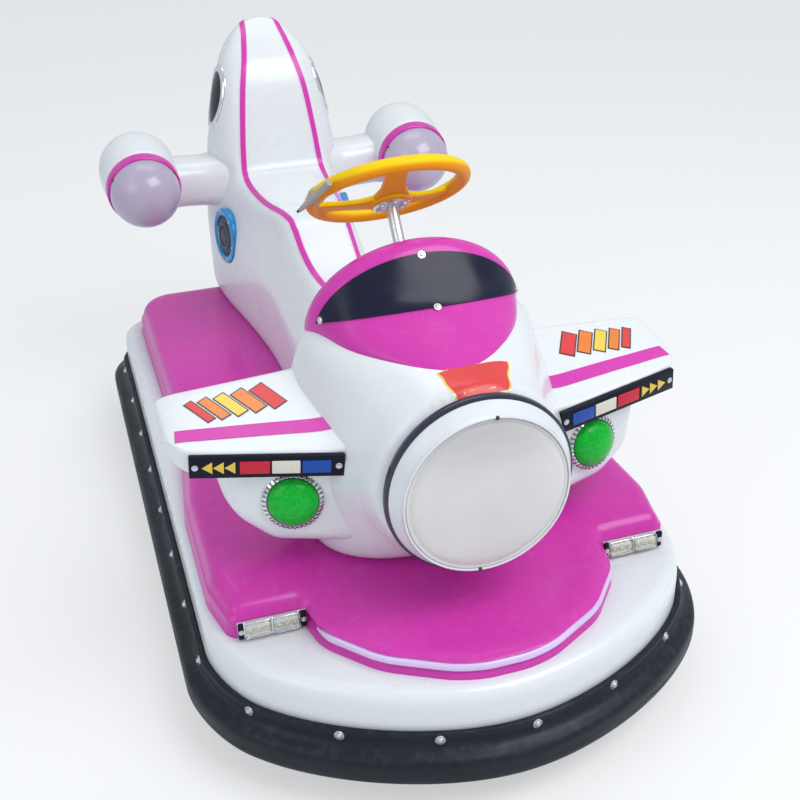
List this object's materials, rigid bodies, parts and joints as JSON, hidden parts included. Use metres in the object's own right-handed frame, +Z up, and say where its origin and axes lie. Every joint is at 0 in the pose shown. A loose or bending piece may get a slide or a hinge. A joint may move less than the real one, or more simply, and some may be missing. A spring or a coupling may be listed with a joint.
{
  "type": "battery bumper car",
  "caption": "Fairground battery bumper car shaped like a small aeroplane: rubber ring, saddle body with round nose lamp, stub wings, tail backrest and steered drive wheel.",
  "frame": {"origin": "on the floor under the middle of the car", "axes": "+Z up, -Y forward, +X to the driver's left"},
  "size_m": [1.0998, 1.91, 1.072],
  "materials": {
    "bumper_rubber": "satin black rubber",
    "white_shell": "glossy white gel-coat",
    "pink_shell": "glossy magenta gel-coat",
    "strip_light": "milky lilac light strip",
    "smoked_screen": "smoked acrylic",
    "black_trim": "glossy black trim",
    "pearl_lens": "pearly lens",
    "chrome_trim": "bright chrome",
    "green_lens": "faceted green lens",
    "clear_lens": "clear lamp lens",
    "lilac_lens": "lilac dome",
    "dark_lens": "dark lamp glass",
    "speaker_blue": "blue speaker lamp",
    "yellow_grip": "yellow moulded rim",
    "bright_steel": "bright steel",
    "frame_paint": "black frame paint",
    "tyre_rubber": "solid tyre",
    "wheel_metal": "cast wheel",
    "battery_case": "battery case"
  },
  "bodies": {
    "chassis": {"bumper_ring": "bumper_rubber", "lower_hull": "white_shell", "deck": "pink_shell", "light_strip": "strip_light", "fuselage": "white_shell", "cowl": "pink_shell", "windscreen": "smoked_screen", "nose_band": "black_trim", "headlight_rim": "white_shell", "headlight_lens": "pearl_lens", "tail": "white_shell", "column_bush": "bright_steel", "rear_axle": "bright_steel", "chassis_frame": "frame_paint", "battery": "battery_case", "wing_left": "white_shell", "lamp_fairing_left": "white_shell", "light_bar_left": "black_trim", "lamp_bezel_left": "chrome_trim", "green_lamp_left": "green_lens", "corner_strobe_left": "clear_lens", "tail_lamp_left": "dark_lens", "tail_speaker_left": "speaker_blue", "pod_left": "white_shell", "pod_dome_left": "lilac_lens", "wing_right": "white_shell", "lamp_fairing_right": "white_shell", "light_bar_right": "black_trim", "lamp_bezel_right": "chrome_trim", "green_lamp_right": "green_lens", "corner_strobe_right": "clear_lens", "tail_lamp_right": "dark_lens", "tail_speaker_right": "speaker_blue", "pod_right": "white_shell", "pod_dome_right": "lilac_lens"},
    "steering": {"steering_wheel": "yellow_grip", "steering_hub_plate": "bright_steel", "steering_column": "bright_steel", "wheel_lever": "bright_steel"},
    "fork": {"drive_fork": "frame_paint", "drive_axle": "bright_steel", "drive_motor": "frame_paint"},
    "drive_wheel": {"drive_tyre": "tyre_rubber", "drive_hub": "wheel_metal"},
    "rear_wheel_left": {"rear_tyre_left": "tyre_rubber", "rear_hub_left": "wheel_metal"},
    "rear_wheel_right": {"rear_tyre_right": "tyre_rubber", "rear_hub_right": "wheel_metal"}
  },
  "joints": [
    {"name": "steering_turn", "type": "hinge", "parent": "chassis", "child": "steering", "pos_m": [0, -0.212, 0.957], "axis": [0, 0.6018, 0.7987], "continuous": true},
    {"name": "fork_swivel", "type": "hinge", "parent": "chassis", "child": "fork", "pos_m": [0, -0.56, 0.25], "axis": [0, 0, 1], "continuous": true},
    {"name": "drive_roll", "type": "hinge", "parent": "fork", "child": "drive_wheel", "pos_m": [0, -0.56, 0.11], "axis": [1, 0, 0], "continuous": true},
    {"name": "rear_roll_left", "type": "hinge", "parent": "chassis", "child": "rear_wheel_left", "pos_m": [0.385, 0.6, 0.1], "axis": [1, 0, 0], "continuous": true},
    {"name": "rear_roll_right", "type": "hinge", "parent": "chassis", "child": "rear_wheel_right", "pos_m": [-0.385, 0.6, 0.1], "axis": [1, 0, 0], "continuous": true}
  ],
  "couplings": [
    {"joint": "steering_turn", "follows": "fork_swivel", "ratio": 1}
  ]
}
